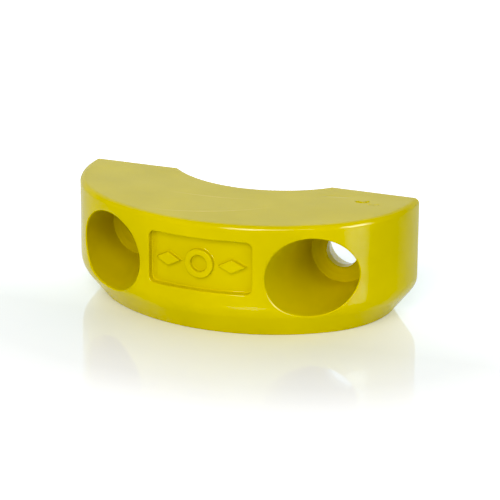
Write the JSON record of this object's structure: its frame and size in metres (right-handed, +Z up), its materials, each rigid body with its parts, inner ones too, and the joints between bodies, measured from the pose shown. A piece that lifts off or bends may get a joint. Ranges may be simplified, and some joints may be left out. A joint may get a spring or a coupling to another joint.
{
  "type": "cord clamp half",
  "caption": "Half of a cord clamp: curved plastic block with a concave saddle at the back, screw wells through its front and a recessed nameplate.",
  "frame": {"origin": "centre of the footprint's bounding box, on the flat base", "axes": "+X along the clamp from screw to screw, +Y from the curved front to the parting face, +Z up, along the cord"},
  "size_m": [0.05, 0.0216, 0.017],
  "materials": {
    "yellow_plastic": "glossy greenish-yellow injection-moulded plastic, slightly wavy, with faint flow lines"
  },
  "bodies": {
    "root": {"clamp_half": "yellow_plastic"}
  },
  "joints": []
}
